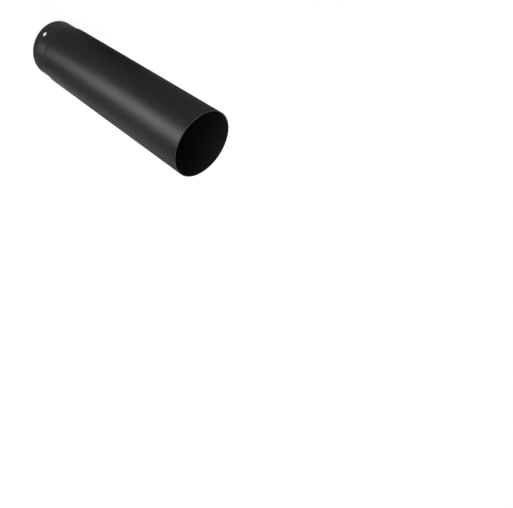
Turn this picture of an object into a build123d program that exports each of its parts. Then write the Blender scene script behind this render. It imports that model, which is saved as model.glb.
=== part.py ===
"""Straight length of black stove pipe: a rolled and welded sheet-steel tube whose lower end is
swaged down to a spigot that slides into the open mouth of the next length."""

import math
import os

from build123d import *

# Driving dimensions, in millimetres and degrees
overall_length = 500.0
bore_diameter = 125.0
wall = 1.2
spigot_length = 50.0
spigot_slack = 1.0
swage_radius = 7.8
lip_round = 0.35
hole_diameter = 10.0
hole_height = 20.0
hole_count = 2
hole_bearing = -90.0
seam_width = 3.2
seam_height = 0.3
seam_bearing = 180.0

# Sizes that follow from them
body_middle = (bore_diameter + wall) / 2
spigot_middle = bore_diameter / 2 - spigot_slack - wall / 2
body_radius = body_middle + wall / 2
spigot_radius = spigot_middle + wall / 2
swage_drop = body_middle - spigot_middle
swage_angle = math.acos(1 - swage_drop / (2 * swage_radius))
swage_length = 2 * swage_radius * math.sin(swage_angle)
body_start = spigot_length + swage_length
lip = min(lip_round, 0.45 * wall)


def skin(shift):
    """Profile of one face of the sheet, from the spigot's end up to the mouth.

    Args:
        shift: distance of the face outward from the middle of the sheet.
    Returns:
        The list of edges and the end points of that face.
    """
    turn = math.degrees(swage_angle)
    start = (spigot_middle + shift, 0.0)
    foot = (spigot_middle + shift, spigot_length)
    shoulder = (body_middle + shift, body_start)
    end = (body_middle + shift, overall_length)
    hollow_centre = (spigot_middle + swage_radius, spigot_length)
    crown_centre = (body_middle - swage_radius, body_start)
    hollow = CenterArc(hollow_centre, swage_radius - shift, 180.0, -turn)
    crown = CenterArc(crown_centre, swage_radius + shift, -turn, turn)
    return [Line(start, foot), hollow, crown, Line(shoulder, end)], start, end


# The tube: one profile of the sheet turned about the flue's axis
outer_edges, outer_start, outer_end = skin(wall / 2)
inner_edges, inner_start, inner_end = skin(-wall / 2)
closing = [Line(outer_start, inner_start), Line(outer_end, inner_end)]
section = make_face(Curve() + outer_edges + inner_edges + closing)
corners = section.vertices().filter_by(lambda v: v.Y < 1e-6 or v.Y > overall_length - 1e-6)
section = fillet(corners, lip)
pipe = revolve(Plane.XZ * section, Axis.Z)

# The weld: a low crown along the body, rolled flat where the end is swaged
crown_left = (body_middle, -seam_width / 2)
crown_right = (body_middle, seam_width / 2)
side = math.sqrt(body_radius ** 2 - (seam_width / 2) ** 2)
bead_face = make_face(
    Curve()
    + [
        Line(crown_left, crown_right),
        Line(crown_right, (side, seam_width / 2)),
        ThreePointArc((side, seam_width / 2), (body_radius + seam_height, 0.0), (side, -seam_width / 2)),
        Line((side, -seam_width / 2), crown_left),
    ]
)
bead = extrude(Plane.XY.offset(body_start) * bead_face, overall_length - lip - body_start)
pipe += Rot(0, 0, seam_bearing) * bead

# The hanging holes, spaced evenly round the spigot
for index in range(hole_count):
    bearing = hole_bearing + 360.0 * index / hole_count
    drill = Cylinder(hole_diameter / 2, 20 * wall, rotation=(0, 90, 0))
    pipe -= Rot(0, 0, bearing) * Pos(spigot_middle, 0, hole_height) * drill

os.makedirs("parts", exist_ok=True)
export_step(pipe, "parts/pipe.step")
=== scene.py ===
import logging
import math
from dataclasses import dataclass
from enum import Enum
from typing import Any

import bmesh
import bpy
from mathutils import Matrix, Vector


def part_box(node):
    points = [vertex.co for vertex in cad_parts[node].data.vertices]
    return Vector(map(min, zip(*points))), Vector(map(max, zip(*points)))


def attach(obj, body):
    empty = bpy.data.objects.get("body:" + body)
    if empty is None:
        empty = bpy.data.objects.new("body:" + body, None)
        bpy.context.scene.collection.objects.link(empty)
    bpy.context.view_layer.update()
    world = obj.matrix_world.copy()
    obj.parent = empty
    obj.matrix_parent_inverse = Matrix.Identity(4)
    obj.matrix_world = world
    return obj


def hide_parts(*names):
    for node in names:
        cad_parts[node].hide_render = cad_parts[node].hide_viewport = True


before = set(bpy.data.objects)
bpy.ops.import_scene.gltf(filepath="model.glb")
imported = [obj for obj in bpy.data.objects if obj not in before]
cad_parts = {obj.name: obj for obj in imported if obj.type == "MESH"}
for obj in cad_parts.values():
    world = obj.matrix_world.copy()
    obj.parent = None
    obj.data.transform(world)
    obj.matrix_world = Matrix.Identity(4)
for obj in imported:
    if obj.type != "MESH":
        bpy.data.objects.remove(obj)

log = logging.getLogger("stove_pipe")

# The pieces' sizes are in millimetres, the studio's in metres, and both use degrees
MM = 0.001
FULL_TURN = 2 * math.pi
HALF_TURN = math.pi
QUARTER_TURN = math.pi / 2

# Names in the frame, and the file that takes both boxes
CAD_NODE = "pipe"
BODY = "root"

# Nodes that come up often, and the colour sockets of Blender's Mix node
MATH = "ShaderNodeMath"
MAP_RANGE = "ShaderNodeMapRange"
ROTATE = "ShaderNodeVectorRotate"
MIX_FIRST = 6
MIX_SECOND = 7
MIX_RESULT = 2

WHITE = "#ffffff"
BLACK = "#000000"

Point = tuple[float, float]


def linear(hex_colour: str) -> tuple[float, float, float, float]:
    """Turn an sRGB hex colour into linear light by the standard's own curve.

    Args:
        hex_colour: six hex digits, with or without a leading mark.
    Returns:
        Red, green, blue and an alpha of one.
    """
    digits = hex_colour.lstrip("#")
    shares = [int(digits[start:start + 2], 16) / 255 for start in (0, 2, 4)]
    light = [s / 12.92 if s <= 0.04045 else ((s + 0.055) / 1.055) ** 2.4 for s in shares]
    return light[0], light[1], light[2], 1.0


def add(tree: bpy.types.NodeTree, kind: str, feeds: dict[str | int, Any] | None = None,
        **settings: Any) -> bpy.types.Node:
    """Add one node with its settings, and link or set its inputs.

    Args:
        tree: shader or geometry tree that takes the node.
        kind: Blender's name of the node's type.
        feeds: input name or index to an output socket, to a node that gives its first output, or to a value.
        settings: properties of the node itself.
    Returns:
        The new node.
    """
    node = tree.nodes.new(kind)
    for name, value in settings.items():
        setattr(node, name, value)
    for name, value in (feeds or {}).items():
        source = value.outputs[0] if isinstance(value, bpy.types.Node) else value
        if isinstance(source, bpy.types.NodeSocket):
            tree.links.new(source, node.inputs[name])
        else:
            node.inputs[name].default_value = source
    return node


def new_geometry_tree(name: str, inputs: dict[str, str]) -> tuple[bpy.types.NodeTree, dict[str, str]]:
    """Start a Geometry Nodes tree with named inputs.

    Args:
        name: name of the tree.
        inputs: input name to socket type.
    Returns:
        The tree, and each input's identifier by name.
    """
    tree = bpy.data.node_groups.new(name, "GeometryNodeTree")
    tree.interface.new_socket("Geometry", in_out="INPUT", socket_type="NodeSocketGeometry")
    found = {}
    for label, kind in inputs.items():
        found[label] = tree.interface.new_socket(label, in_out="INPUT", socket_type=kind).identifier
    tree.interface.new_socket("Geometry", in_out="OUTPUT", socket_type="NodeSocketGeometry")
    return tree, found


def realise(name: str, base: bpy.types.Mesh, tree: bpy.types.NodeTree,
            values: dict[str, Any]) -> bpy.types.Object:
    """Run a Geometry Nodes tree on a mesh and keep the result as a plain mesh.

    Args:
        name: name of the finished piece.
        base: mesh that the tree starts from.
        tree: the tree.
        values: input identifier to value.
    Returns:
        An object with the finished mesh and no modifier.
    """
    maker = bpy.data.objects.new(name + "_maker", base)
    bpy.context.scene.collection.objects.link(maker)
    modifier = maker.modifiers.new("shape", "NODES")
    modifier.node_group = tree
    for identifier, value in values.items():
        modifier[identifier] = value
    bpy.context.view_layer.update()
    evaluated = maker.evaluated_get(bpy.context.evaluated_depsgraph_get())
    mesh = bpy.data.meshes.new_from_object(evaluated)
    maker.modifiers.clear()
    bpy.data.objects.remove(maker)
    mesh.name = name
    piece = bpy.data.objects.new(name, mesh)
    bpy.context.scene.collection.objects.link(piece)
    return piece


def clean_normals(mesh: bpy.types.Mesh, sharp_degrees: float) -> None:
    """Turn every face outwards, shade it smooth and keep true corners sharp.

    Args:
        mesh: the closed mesh to clean.
        sharp_degrees: an edge that bends more than this stays a corner.
    """
    work = bmesh.new()
    work.from_mesh(mesh)
    bmesh.ops.recalc_face_normals(work, faces=work.faces)
    work.to_mesh(mesh)
    work.free()
    mesh.shade_smooth()
    mesh.set_sharp_from_angle(angle=math.radians(sharp_degrees))


def arc(centre: Point, radius: float, start: float, end: float, steps: int) -> list[Point]:
    """Points along a round stretch of the sheet's profile.

    Args:
        centre: radius and height of the arc's centre.
        radius: radius of the arc itself.
        start: direction of the first point from the centre, in radians from straight out.
        end: direction of the last point.
        steps: number of equal steps between them.
    Returns:
        Radius and height of each point, with both ends.
    """
    turns = [start + (end - start) * step / steps for step in range(steps + 1)]
    return [(centre[0] + radius * math.cos(turn), centre[1] + radius * math.sin(turn)) for turn in turns]


def upright(radius: float, low: float, high: float, steps: int) -> list[Point]:
    """Points along a straight stretch of the sheet's profile.

    Args:
        radius: distance of the stretch from the flue's axis.
        low: height of the first point.
        high: height of the last point.
        steps: number of equal steps between them.
    Returns:
        Radius and height of each point, with both ends.
    """
    return [(radius, low + (high - low) * step / steps) for step in range(steps + 1)]


def seen_level(tree: bpy.types.NodeTree, eye: Any, mirrored: Any) -> bpy.types.Node:
    """Level of the backdrop's white that the present ray sees.

    Args:
        tree: shader tree that takes the nodes.
        eye: level for the camera and through glass, as a node or a number.
        mirrored: level that gloss shows, as a node or a number.
    Returns:
        The node that gives the level.
    """
    ray = add(tree, "ShaderNodeLightPath").outputs
    straight = add(tree, MATH, {0: ray["Is Camera Ray"], 1: ray["Is Transmission Ray"]}, operation="MAXIMUM")
    seen = add(tree, MATH, {0: straight, 1: eye}, operation="MULTIPLY")
    gloss = add(tree, MATH, {0: ray["Is Glossy Ray"], 1: mirrored}, operation="MULTIPLY")
    return add(tree, MATH, {0: seen, 1: gloss}, operation="MAXIMUM")


class PipeEnd(Enum):
    """The two cut ends of the tube."""

    FOOT = "lower end of the spigot"
    MOUTH = "upper end of the body"


class Stance(Enum):
    """The ways in which a soft light stands."""

    FACES_PIPE = "turned to the flue's axis"
    LIES_ON_FLOOR = "flat on the floor, shining up"


@dataclass(frozen=True)
class Grain:
    """One layer of uneven coat or sheet: the size of its patches and the detail within them."""

    size_mm: float
    detail: float
    crispness: float = 0.5


@dataclass(frozen=True)
class BlackHeatCoat:
    """Heat-proof black coat, sprayed on sheet steel and stoved."""

    # The eye sees a near-black satin skin with a broad soft gleam, and a greyer line on the cut edges, where
    # the coat draws thin
    thick_colour: str = "#151513"
    thin_colour: str = "#1c1c19"
    edge_colour: str = "#2b2b29"
    edge_band_mm: float = 0.7
    ior: float = 1.5
    metallic: float = 0.0
    roughness: float = 0.43
    roughness_spread: float = 0.05

    # Faint patches where the coat lies thicker, and rubbed places along the edges
    patches: Grain = Grain(size_mm=70.0, detail=4.0, crispness=0.55)
    rubbing: Grain = Grain(size_mm=9.6, detail=3.0)

    # Real peel is about 0.4 mm across, too fine for the render, so it is drawn four times as coarse
    peel: Grain = Grain(size_mm=1.6, detail=2.0)
    peel_height_mm: float = 0.012

    # The sheet is never quite round, so the gleam's edges waver slowly
    sheet_wave: Grain = Grain(size_mm=55.0, detail=1.0)
    sheet_wave_height_mm: float = 0.05

    # The coat pools in the hollow of the shoulder and dries duller, which draws a dark line across the gleam
    shoulder_dulling: float = 0.42
    shoulder_core_mm: float = 2.1
    shoulder_fade_mm: float = 7.0

    def build(self, low: float, high: float, shoulder: float) -> bpy.types.Material:
        """Build the material.

        Args:
            low: height of the lower cut edge in metres.
            high: height of the upper cut edge in metres.
            shoulder: height of the middle of the swaged shoulder in metres.
        Returns:
            The node material.
        """
        material = bpy.data.materials.new("black_heat_coat_on_steel")
        material.use_nodes = True
        tree = material.node_tree
        tree.nodes.clear()
        place = add(tree, "ShaderNodeTexCoord").outputs["Object"]
        layers = []
        for grain in (self.patches, self.rubbing, self.peel, self.sheet_wave):
            layers.append(add(tree, "ShaderNodeTexNoise", {
                "Vector": place,
                "Scale": 1 / (grain.size_mm * MM),
                "Detail": grain.detail,
                "Roughness": grain.crispness,
            }))
        patches, rubbing, peel, wave = layers
        height = add(tree, "ShaderNodeSeparateXYZ", {0: place}).outputs["Z"]
        gaps = []
        for level in (low, high, shoulder):
            apart = add(tree, MATH, {0: height, 1: level}, operation="SUBTRACT")
            gaps.append(add(tree, MATH, {0: apart}, operation="ABSOLUTE"))
        from_low, from_high, from_shoulder = gaps
        from_edge = add(tree, MATH, {0: from_low, 1: from_high}, operation="MINIMUM")

        # Colour: patches of thicker coat, then the thin coat on the edges
        coat = add(tree, "ShaderNodeMix", {
            "Factor": patches,
            MIX_FIRST: linear(self.thick_colour),
            MIX_SECOND: linear(self.thin_colour),
        }, data_type="RGBA").outputs[MIX_RESULT]
        bare = add(tree, MAP_RANGE, {
            "Value": from_edge,
            "From Min": 0.0,
            "From Max": self.edge_band_mm * MM,
            "To Min": 1.0,
            "To Max": 0.0,
        }, interpolation_type="SMOOTHSTEP")
        bare = add(tree, MATH, {0: bare, 1: rubbing}, operation="MULTIPLY")
        colour = add(tree, "ShaderNodeMix", {
            "Factor": bare,
            MIX_FIRST: coat,
            MIX_SECOND: linear(self.edge_colour),
        }, data_type="RGBA").outputs[MIX_RESULT]

        # Roughness: the patches' own spread, and the dull band in the shoulder
        dull = add(tree, MAP_RANGE, {
            "Value": patches,
            "To Min": self.roughness - self.roughness_spread,
            "To Max": self.roughness + self.roughness_spread,
        })
        pooled = add(tree, MAP_RANGE, {
            "Value": from_shoulder,
            "From Min": self.shoulder_core_mm * MM,
            "From Max": self.shoulder_fade_mm * MM,
            "To Min": self.shoulder_dulling,
            "To Max": 0.0,
        }, interpolation_type="SMOOTHSTEP")
        dull = add(tree, MATH, {0: dull, 1: pooled}, operation="ADD")

        # Relief: the slow wave of the sheet with the peel on top
        wavy = add(tree, "ShaderNodeBump", {
            "Height": wave,
            "Strength": 1.0,
            "Distance": self.sheet_wave_height_mm * MM,
        })
        relief = add(tree, "ShaderNodeBump", {
            "Height": peel,
            "Strength": 1.0,
            "Distance": self.peel_height_mm * MM,
            "Normal": wavy,
        })
        skin = add(tree, "ShaderNodeBsdfPrincipled", {
            "Base Color": colour,
            "Roughness": dull,
            "Normal": relief,
            "Metallic": self.metallic,
            "IOR": self.ior,
        })
        add(tree, "ShaderNodeOutputMaterial", {"Surface": skin})
        return material


@dataclass(frozen=True)
class WhiteFloorPaint:
    """Matt white paint on a smooth floor, with its levels as shares of white and its places in metres."""

    # The eye sees an even white ground with a faint shadow. Its glow rises with the distance, so that no
    # horizon shows against the surround
    paint_colour: str = "#8a8a8a"
    near_glow: float = 0.84
    far_glow: float = 0.935
    near_reach: float = 0.9
    far_reach: float = 1.9

    # Gloss shows it as a dark grey, darkest in one patch beside the pipe and lighter round the foot
    mirrored: float = 0.15
    shaded: float = 0.03
    shade_place: tuple[float, float, float] = (-0.28, -0.03, 0.0)
    shade_core: float = 0.08
    shade_reach: float = 0.2
    foot_mirrored: float = 0.32
    foot_near: float = 0.07
    foot_far: float = 0.14

    def build(self) -> bpy.types.Material:
        """Build the material.

        Returns:
            The node material.
        """
        material = bpy.data.materials.new("matt_white_paint_on_floor")
        material.use_nodes = True
        tree = material.node_tree
        tree.nodes.clear()
        place = add(tree, "ShaderNodeTexCoord").outputs["Object"]
        reach = add(tree, "ShaderNodeVectorMath", {0: place}, operation="LENGTH").outputs["Value"]
        from_shade = add(tree, "ShaderNodeVectorMath", {0: place, 1: self.shade_place},
                         operation="DISTANCE").outputs["Value"]
        fades = (
            (reach, self.near_reach, self.far_reach, self.near_glow, self.far_glow),
            (from_shade, self.shade_core, self.shade_reach, self.shaded, self.mirrored),
            (reach, self.foot_near, self.foot_far, self.foot_mirrored, 0.0),
        )
        levels = []
        for gap, near, far, first, last in fades:
            levels.append(add(tree, MAP_RANGE, {
                "Value": gap,
                "From Min": near,
                "From Max": far,
                "To Min": first,
                "To Max": last,
            }, interpolation_type="SMOOTHSTEP"))
        glow, shade, foot = levels
        mirrored = add(tree, MATH, {0: shade, 1: foot}, operation="MAXIMUM")
        level = seen_level(tree, glow, mirrored)
        ray = add(tree, "ShaderNodeLightPath").outputs
        paint = add(tree, "ShaderNodeMix", {
            "Factor": ray["Is Glossy Ray"],
            MIX_FIRST: linear(self.paint_colour),
            MIX_SECOND: linear(BLACK),
        }, data_type="RGBA").outputs[MIX_RESULT]
        matt = add(tree, "ShaderNodeBsdfDiffuse", {"Color": paint})
        light = add(tree, "ShaderNodeEmission", {"Color": linear(WHITE), "Strength": level})
        both = add(tree, "ShaderNodeAddShader", {0: matt, 1: light})
        add(tree, "ShaderNodeOutputMaterial", {"Surface": both})
        return material


@dataclass
class PipeShell:
    """The rolled and swaged tube, turned from one profile of its sheet."""

    overall_length: float = 500.0
    bore_diameter: float = 125.0
    wall: float = 1.2
    spigot_length: float = 50.0
    spigot_slack: float = 1.0
    swage_radius: float = 7.8
    lip_round: float = 0.35
    hole_diameter: float = 10.0
    hole_height: float = 20.0
    hole_count: int = 2
    hole_bearing: float = -90.0
    drill_length: float = 24.0
    segments: int = 384
    lip_steps: int = 5
    swage_steps: int = 9
    body_steps: int = 22
    spigot_steps: int = 6
    hole_sides: int = 72
    seam_gap: float = 0.001
    sharp_degrees: float = 35.0

    @property
    def body_middle(self) -> float:
        """Radius of the middle of the sheet along the body."""
        return (self.bore_diameter + self.wall) / 2

    @property
    def spigot_middle(self) -> float:
        """Radius of the middle of the sheet along the spigot."""
        return self.bore_diameter / 2 - self.spigot_slack - self.wall / 2

    @property
    def body_radius(self) -> float:
        """Outside radius of the body."""
        return self.body_middle + self.wall / 2

    @property
    def swage_angle(self) -> float:
        """Turn of each of the shoulder's two arcs, in radians."""
        return math.acos(1 - (self.body_middle - self.spigot_middle) / (2 * self.swage_radius))

    @property
    def body_start(self) -> float:
        """Height at which the body has its full radius."""
        return self.spigot_length + 2 * self.swage_radius * math.sin(self.swage_angle)

    @property
    def body_end(self) -> float:
        """Height at which the body's straight wall ends and the lip of the mouth starts."""
        return self.overall_length - self.lip_round

    @property
    def shoulder(self) -> float:
        """Height of the middle of the swaged shoulder."""
        return (self.spigot_length + self.body_start) / 2

    def skin(self, shift: float) -> list[Point]:
        """Points of one face of the sheet between its lips, from the spigot up.

        Args:
            shift: distance of the face outward from the middle of the sheet.
        Returns:
            Radius and height of each point.
        """
        turn = self.swage_angle
        hollow_centre = (self.spigot_middle + self.swage_radius, self.spigot_length)
        crown_centre = (self.body_middle - self.swage_radius, self.body_start)
        spigot = upright(self.spigot_middle + shift, self.lip_round, self.spigot_length, self.spigot_steps)
        hollow = arc(hollow_centre, self.swage_radius - shift, HALF_TURN, HALF_TURN - turn, self.swage_steps)
        crown = arc(crown_centre, self.swage_radius + shift, -turn, 0.0, self.swage_steps)
        body = upright(self.body_middle + shift, self.body_start, self.body_end, self.body_steps)
        return spigot[:-1] + hollow + crown[1:] + body[1:]

    def lip(self, end: PipeEnd) -> list[Point]:
        """Points round one cut edge, without the two that its skins hold.

        Args:
            end: the mouth, which runs from the outside in, or the foot, which runs from the inside out.
        Returns:
            Radius and height of each point.
        """
        flat = self.wall / 2 - self.lip_round
        if end is PipeEnd.MOUTH:
            first_centre = (self.body_middle + flat, self.body_end)
            second_centre = (self.body_middle - flat, self.body_end)
            start = 0.0
        else:
            first_centre = (self.spigot_middle - flat, self.lip_round)
            second_centre = (self.spigot_middle + flat, self.lip_round)
            start = HALF_TURN
        top = start + QUARTER_TURN
        first = arc(first_centre, self.lip_round, start, top, self.lip_steps)
        second = arc(second_centre, self.lip_round, top, top + QUARTER_TURN, self.lip_steps)
        return (first + second)[1:-1]

    def profile(self) -> bpy.types.Mesh:
        """Closed profile of the sheet as loose points in the XZ plane, in metres.

        Returns:
            A mesh with one vertex for each point, in order.
        """
        outer = self.skin(self.wall / 2)
        inner = self.skin(-self.wall / 2)
        ring = outer + self.lip(PipeEnd.MOUTH) + inner[::-1] + self.lip(PipeEnd.FOOT)
        mesh = bpy.data.meshes.new("pipe_profile")
        mesh.from_pydata([(radius * MM, 0.0, height * MM) for radius, height in ring], [], [])
        return mesh

    def tree(self) -> tuple[bpy.types.NodeTree, dict[str, str]]:
        """Tree that turns the profile about the flue's axis and pierces the hanging holes.

        Returns:
            The tree and its inputs' identifiers.
        """
        tree, found = new_geometry_tree("turned_pipe", {
            "Segments": "NodeSocketInt",
            "Profile Points": "NodeSocketInt",
            "Seam Gap": "NodeSocketFloat",
            "Hole Count": "NodeSocketInt",
            "Hole Radius": "NodeSocketFloat",
            "Hole Height": "NodeSocketFloat",
            "Hole Bearing": "NodeSocketFloat",
            "Hole Sides": "NodeSocketInt",
            "Spigot Radius": "NodeSocketFloat",
            "Drill Length": "NodeSocketFloat",
            "Finish": "NodeSocketMaterial",
        })
        given = add(tree, "NodeGroupInput").outputs

        # A flat grid of one unit, centred: across it is the turn, and along it is the row of the profile
        unit = 1.0
        columns = add(tree, MATH, {0: given["Segments"], 1: 1.0}, operation="ADD")
        rows = add(tree, MATH, {0: given["Profile Points"], 1: 1.0}, operation="ADD")
        grid = add(tree, "GeometryNodeMeshGrid", {
            "Size X": unit,
            "Size Y": unit,
            "Vertices X": columns,
            "Vertices Y": rows,
        })
        spot = add(tree, "GeometryNodeInputPosition")
        where = add(tree, "ShaderNodeSeparateXYZ", {0: spot}).outputs
        scaled = []
        for share, whole in ((where["X"], FULL_TURN), (where["Y"], given["Profile Points"])):
            from_start = add(tree, MATH, {0: share, 1: unit / 2}, operation="ADD")
            scaled.append(add(tree, MATH, {0: from_start, 1: whole}, operation="MULTIPLY"))
        turn, along = scaled
        row = add(tree, MATH, {0: along}, operation="ROUND")
        row = add(tree, MATH, {0: row, 1: given["Profile Points"]}, operation="MODULO")
        point = add(tree, "GeometryNodeSampleIndex", {
            "Geometry": given["Geometry"],
            "Value": spot,
            "Index": row,
        }, data_type="FLOAT_VECTOR", domain="POINT")
        turned = add(tree, ROTATE, {"Vector": point, "Angle": turn}, rotation_type="Z_AXIS")
        shell = add(tree, "GeometryNodeSetPosition", {"Geometry": grid, "Position": turned})
        shell = add(tree, "GeometryNodeMergeByDistance", {"Geometry": shell, "Distance": given["Seam Gap"]})

        # One drill for each hole, evenly round the spigot and square to its wall
        step = add(tree, MATH, {0: FULL_TURN, 1: given["Hole Count"]}, operation="DIVIDE")
        index = add(tree, "GeometryNodeInputIndex")
        bearing = add(tree, MATH, {0: index, 1: step, 2: given["Hole Bearing"]}, operation="MULTIPLY_ADD")
        out = add(tree, "ShaderNodeCombineXYZ", {"X": given["Spigot Radius"], "Z": given["Hole Height"]})
        centre = add(tree, ROTATE, {"Vector": out, "Angle": bearing}, rotation_type="Z_AXIS")
        aim = add(tree, "ShaderNodeCombineXYZ", {"Y": QUARTER_TURN, "Z": bearing})
        points = add(tree, "GeometryNodePoints", {"Count": given["Hole Count"], "Position": centre})
        drill = add(tree, "GeometryNodeMeshCylinder", {
            "Vertices": given["Hole Sides"],
            "Radius": given["Hole Radius"],
            "Depth": given["Drill Length"],
        })
        drills = add(tree, "GeometryNodeInstanceOnPoints", {"Points": points, "Instance": drill})
        drills = add(tree, "GeometryNodeRotateInstances", {"Instances": drills, "Rotation": aim})
        drills = add(tree, "GeometryNodeRealizeInstances", {"Geometry": drills})
        pierced = add(tree, "GeometryNodeMeshBoolean", {"Mesh 1": shell, "Mesh 2": drills},
                      operation="DIFFERENCE", solver="EXACT")
        whole = add(tree, "GeometryNodeRealizeInstances", {"Geometry": pierced})
        dressed = add(tree, "GeometryNodeSetMaterial", {"Geometry": whole, "Material": given["Finish"]})
        add(tree, "NodeGroupOutput", {"Geometry": dressed})
        return tree, found

    def build(self, finish: bpy.types.Material) -> bpy.types.Object:
        """Build the tube and put it in the place of its CAD solid.

        Args:
            finish: material of the coat.
        Returns:
            The finished piece.
        """
        profile = self.profile()
        tree, found = self.tree()
        piece = realise("pipe_shell", profile, tree, {
            found["Segments"]: self.segments,
            found["Profile Points"]: len(profile.vertices),
            found["Seam Gap"]: self.seam_gap * MM,
            found["Hole Count"]: self.hole_count,
            found["Hole Radius"]: self.hole_diameter / 2 * MM,
            found["Hole Height"]: self.hole_height * MM,
            found["Hole Bearing"]: math.radians(self.hole_bearing),
            found["Hole Sides"]: self.hole_sides,
            found["Spigot Radius"]: self.spigot_middle * MM,
            found["Drill Length"]: self.drill_length * MM,
            found["Finish"]: finish,
        })
        clean_normals(piece.data, self.sharp_degrees)
        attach(piece, BODY)
        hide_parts(CAD_NODE)
        return piece


@dataclass
class WeldBead:
    """The low rippled weld along the back of the body, under the coat."""

    body_radius: float
    start: float
    end: float
    width: float = 3.2
    height: float = 0.3
    bearing: float = 180.0
    ripple_pitch: float = 2.2
    ripple_bow: float = 0.9
    trough_share: float = 0.78
    steps_per_ripple: int = 6
    sides: int = 20
    sharp_degrees: float = 60.0

    def tree(self) -> tuple[bpy.types.NodeTree, dict[str, str]]:
        """Tree that sweeps an oval along the seam and ripples it.

        Returns:
            The tree and its inputs' identifiers.
        """
        tree, found = new_geometry_tree("rippled_weld", {
            "Start": "NodeSocketFloat",
            "End": "NodeSocketFloat",
            "Rings": "NodeSocketInt",
            "Sides": "NodeSocketInt",
            "Seat Radius": "NodeSocketFloat",
            "Half Width": "NodeSocketFloat",
            "Height": "NodeSocketFloat",
            "Pitch": "NodeSocketFloat",
            "Bow": "NodeSocketFloat",
            "Trough Share": "NodeSocketFloat",
            "Bearing": "NodeSocketFloat",
            "Finish": "NodeSocketMaterial",
        })
        given = add(tree, "NodeGroupInput").outputs

        # A round rod of unit radius on the flue's axis
        foot = add(tree, "ShaderNodeCombineXYZ", {"Z": given["Start"]})
        head = add(tree, "ShaderNodeCombineXYZ", {"Z": given["End"]})
        line = add(tree, "GeometryNodeCurvePrimitiveLine", {"Start": foot, "End": head})
        line = add(tree, "GeometryNodeResampleCurve", {"Curve": line, "Count": given["Rings"]})
        ring = add(tree, "GeometryNodeCurvePrimitiveCircle", {"Resolution": given["Sides"], "Radius": 1.0})
        rod = add(tree, "GeometryNodeCurveToMesh", {"Curve": line, "Profile Curve": ring, "Fill Caps": True})

        # Each ripple bows along the seam, and the bead's height swings between its full one and the trough's
        spot = add(tree, "GeometryNodeInputPosition")
        place = add(tree, "ShaderNodeSeparateXYZ", {0: spot}).outputs
        squared = add(tree, MATH, {0: place["Y"], 1: place["Y"]}, operation="MULTIPLY")
        bowed = add(tree, MATH, {0: squared, 1: given["Bow"], 2: place["Z"]}, operation="MULTIPLY_ADD")
        phase = add(tree, MATH, {0: bowed, 1: given["Pitch"]}, operation="DIVIDE")
        phase = add(tree, MATH, {0: phase, 1: FULL_TURN}, operation="MULTIPLY")
        ripple = add(tree, MATH, {0: phase}, operation="SINE")
        swell = add(tree, MAP_RANGE, {
            "Value": ripple,
            "From Min": -1.0,
            "From Max": 1.0,
            "To Min": 1.0,
            "To Max": given["Trough Share"],
        })
        lift = add(tree, MATH, {0: place["X"], 1: given["Height"]}, operation="MULTIPLY")
        out = add(tree, MATH, {0: lift, 1: swell, 2: given["Seat Radius"]}, operation="MULTIPLY_ADD")
        across = add(tree, MATH, {0: place["Y"], 1: given["Half Width"]}, operation="MULTIPLY")
        moved = add(tree, "ShaderNodeCombineXYZ", {"X": out, "Y": across, "Z": place["Z"]})
        bead = add(tree, "GeometryNodeSetPosition", {"Geometry": rod, "Position": moved})
        turn = add(tree, "ShaderNodeCombineXYZ", {"Z": given["Bearing"]})
        bead = add(tree, "GeometryNodeTransform", {"Geometry": bead, "Rotation": turn})
        whole = add(tree, "GeometryNodeRealizeInstances", {"Geometry": bead})
        dressed = add(tree, "GeometryNodeSetMaterial", {"Geometry": whole, "Material": given["Finish"]})
        add(tree, "NodeGroupOutput", {"Geometry": dressed})
        return tree, found

    def build(self, finish: bpy.types.Material) -> bpy.types.Object:
        """Build the weld where the CAD solid has it.

        Args:
            finish: material of the coat.
        Returns:
            The finished piece.
        """
        tree, found = self.tree()
        rings = round((self.end - self.start) / self.ripple_pitch * self.steps_per_ripple)
        piece = realise("weld_bead", bpy.data.meshes.new("weld_start"), tree, {
            found["Start"]: self.start * MM,
            found["End"]: self.end * MM,
            found["Rings"]: rings,
            found["Sides"]: self.sides,
            found["Seat Radius"]: self.body_radius * MM,
            found["Half Width"]: self.width / 2 * MM,
            found["Height"]: self.height * MM,
            found["Pitch"]: self.ripple_pitch * MM,
            found["Bow"]: self.ripple_bow * MM,
            found["Trough Share"]: self.trough_share,
            found["Bearing"]: math.radians(self.bearing),
            found["Finish"]: finish,
        })
        clean_normals(piece.data, self.sharp_degrees)
        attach(piece, BODY)
        return piece


@dataclass(frozen=True)
class SoftLight:
    """One soft light that the camera doesn't see, at a bearing turned from the front towards the right."""

    name: str
    bearing: float
    reach: float
    height: float
    wide: float
    deep: float
    radiance: float
    aim_height: float = 0.0
    stance: Stance = Stance.FACES_PIPE

    def build(self) -> bpy.types.Object:
        """Place the light.

        Returns:
            The light object.
        """
        data = bpy.data.lights.new(self.name, "AREA")
        data.shape = "RECTANGLE"
        data.size = self.wide
        data.size_y = self.deep
        data.energy = self.radiance * math.pi * self.wide * self.deep
        light = bpy.data.objects.new(self.name, data)
        turn = math.radians(self.bearing)
        spot = Vector((math.sin(turn) * self.reach, -math.cos(turn) * self.reach, self.height))
        if self.stance is Stance.LIES_ON_FLOOR:
            facing = Matrix.Rotation(turn, 4, "Z") @ Matrix.Rotation(HALF_TURN, 4, "X")
        else:
            aim = Vector((0.0, 0.0, self.aim_height)) - spot
            facing = aim.to_track_quat("-Z", "Y").to_matrix().to_4x4()
        light.matrix_world = Matrix.Translation(spot) @ facing
        light.visible_camera = False
        bpy.context.scene.collection.objects.link(light)
        return light


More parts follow.
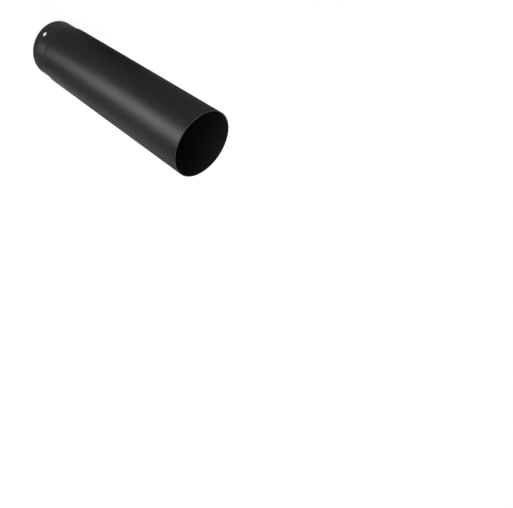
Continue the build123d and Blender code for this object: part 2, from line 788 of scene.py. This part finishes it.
@dataclass(frozen=True)
class FloorStrip:
    """A strip of light on the floor that widens away from the pipe, in stretches between its marks."""

    name: str
    bearing: float
    spread: float
    marks: tuple[float, ...]
    radiances: tuple[float, ...]
    height: float = 0.004

    def stretches(self) -> list[SoftLight]:
        """Cut the strip at its marks.

        Returns:
            One flat light for each stretch.
        """
        lights = []
        for near, far, radiance in zip(self.marks, self.marks[1:], self.radiances):
            middle = (near + far) / 2
            lights.append(SoftLight(
                name=f"{self.name}_{near}",
                bearing=self.bearing,
                reach=middle,
                height=self.height,
                wide=self.spread * middle,
                deep=far - near,
                radiance=radiance,
                stance=Stance.LIES_ON_FLOOR,
            ))
        return lights


@dataclass(frozen=True)
class PhotoCamera:
    """Camera at the photograph's viewing angle, placed in millimetres, with its lens axis in pixels."""

    place: tuple[float, float, float] = (150.0, -743.93, 1046.26)
    look_bearing: float = -6.114
    look_down: float = 34.49
    roll: float = 133.543
    lens: float = 35.881
    sensor_width: float = 36.0
    picture_width: float = 513.0
    lens_axis: float = 130.0

    def build(self) -> bpy.types.Object:
        """Place the camera and make it the scene's own.

        Returns:
            The camera object.
        """
        bearing = math.radians(self.look_bearing)
        down = math.radians(self.look_down)
        level = math.cos(down)
        look = Vector((-math.sin(bearing) * level, math.cos(bearing) * level, -math.sin(down)))
        level_right = look.cross(Vector((0.0, 0.0, 1.0))).normalized()
        level_up = level_right.cross(look)
        turn = math.radians(self.roll)
        right = level_right * math.cos(turn) + level_up * math.sin(turn)
        up = level_up * math.cos(turn) - level_right * math.sin(turn)
        data = bpy.data.cameras.new("camera")
        data.lens = self.lens
        data.sensor_width = self.sensor_width
        data.sensor_fit = "HORIZONTAL"
        data.shift_x = (self.picture_width / 2 - self.lens_axis) / self.picture_width
        camera = bpy.data.objects.new("camera", data)
        pose = Matrix((right, up, -look)).transposed().to_4x4()
        camera.matrix_world = Matrix.Translation(Vector(self.place) * MM) @ pose
        bpy.context.scene.collection.objects.link(camera)
        bpy.context.scene.camera = camera
        return camera


@dataclass
class Studio:
    """White floor, white surround and soft lights."""

    floor_half: float = 6.0
    surround_seen: float = 1.0
    surround_light: float = 0.28
    panel_reach: float = 1.5
    panel_middle: float = 0.85
    panel_tall: float = 1.6

    def build_floor(self) -> bpy.types.Object:
        """Lay the floor that the pipe stands on.

        Returns:
            The floor object.
        """
        half = self.floor_half
        rim = [(-half, -half, 0.0), (half, -half, 0.0), (half, half, 0.0), (-half, half, 0.0)]
        mesh = bpy.data.meshes.new("floor")
        mesh.from_pydata(rim, [], [(0, 1, 2, 3)])
        mesh.materials.append(WhiteFloorPaint().build())
        floor = bpy.data.objects.new("floor", mesh)
        bpy.context.scene.collection.objects.link(floor)
        return floor

    def build_surround(self) -> None:
        """Make the surround: white to the eye, softer as a light."""
        world = bpy.data.worlds.new("white_surround")
        world.use_nodes = True
        tree = world.node_tree
        tree.nodes.clear()
        level = seen_level(tree, self.surround_seen, self.surround_light)
        strength = add(tree, MATH, {0: level, 1: self.surround_light}, operation="MAXIMUM")
        glow = add(tree, "ShaderNodeBackground", {"Color": linear(WHITE), "Strength": strength})
        add(tree, "ShaderNodeOutputWorld", {"Surface": glow})
        bpy.context.scene.world = world

    def standing_lights(self) -> list[SoftLight]:
        """Light overhead and the upright panels round the pipe.

        Returns:
            The lights, not yet placed.
        """
        lights = [
            SoftLight(name="overhead", bearing=40.0, reach=0.6, height=1.9, aim_height=0.2,
                      wide=1.4, deep=1.4, radiance=1.5),
        ]
        for name, bearing, wide, radiance in (
            ("front_panel", 30.0, 0.7, 3.6),
            ("right_panel", 118.0, 0.9, 0.7),
            ("back_panel", 178.0, 0.7, 3.6),
            ("weld_panel", 304.0, 0.5, 1.8),
        ):
            lights.append(SoftLight(
                name=name,
                bearing=bearing,
                reach=self.panel_reach,
                height=self.panel_middle,
                aim_height=self.panel_middle,
                wide=wide,
                deep=self.panel_tall,
                radiance=radiance,
            ))
        return lights

    def floor_lights(self) -> list[SoftLight]:
        """Strips on the floor, which a camera above sees mirrored as long gleams.

        Returns:
            The lights, not yet placed.
        """
        strips = (
            FloorStrip(name="front_strip_near", bearing=32.0, spread=0.4, marks=(0.07, 0.11, 0.17, 0.28),
                       radiances=(0.65, 1.0, 1.75)),
            FloorStrip(name="front_strip_far", bearing=29.0, spread=0.48, marks=(0.28, 0.45, 0.8, 1.4),
                       radiances=(3.3, 4.6, 4.6)),
            FloorStrip(name="side_strip", bearing=118.0, spread=0.7, marks=(0.07, 0.3, 1.2),
                       radiances=(0.38, 0.3)),
            FloorStrip(name="back_strip", bearing=190.0, spread=0.6, marks=(0.2, 0.5, 1.4),
                       radiances=(0.6, 1.1)),
        )
        return [light for strip in strips for light in strip.stretches()]

    def build_lights(self) -> list[bpy.types.Object]:
        """Place every light."""
        return [light.build() for light in self.standing_lights() + self.floor_lights()]


def main() -> None:
    """Build the pipe and its studio in order."""
    logging.basicConfig(level=logging.INFO, format="%(name)s: %(message)s")
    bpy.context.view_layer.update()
    low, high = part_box(CAD_NODE)
    bpy.context.scene.view_settings.view_transform = "Standard"
    PhotoCamera().build()
    tube = PipeShell()
    coat = BlackHeatCoat().build(low.z, high.z, tube.shoulder * MM)
    shell = tube.build(coat)
    log.info("%s: %d faces", shell.name, len(shell.data.polygons))
    weld = WeldBead(tube.body_radius, tube.body_start, tube.body_end).build(coat)
    log.info("%s: %d faces", weld.name, len(weld.data.polygons))
    studio = Studio()
    studio.build_floor()
    studio.build_surround()
    for light in studio.build_lights():
        log.info("%s placed", light.name)


if __name__ == "__main__":
    main()
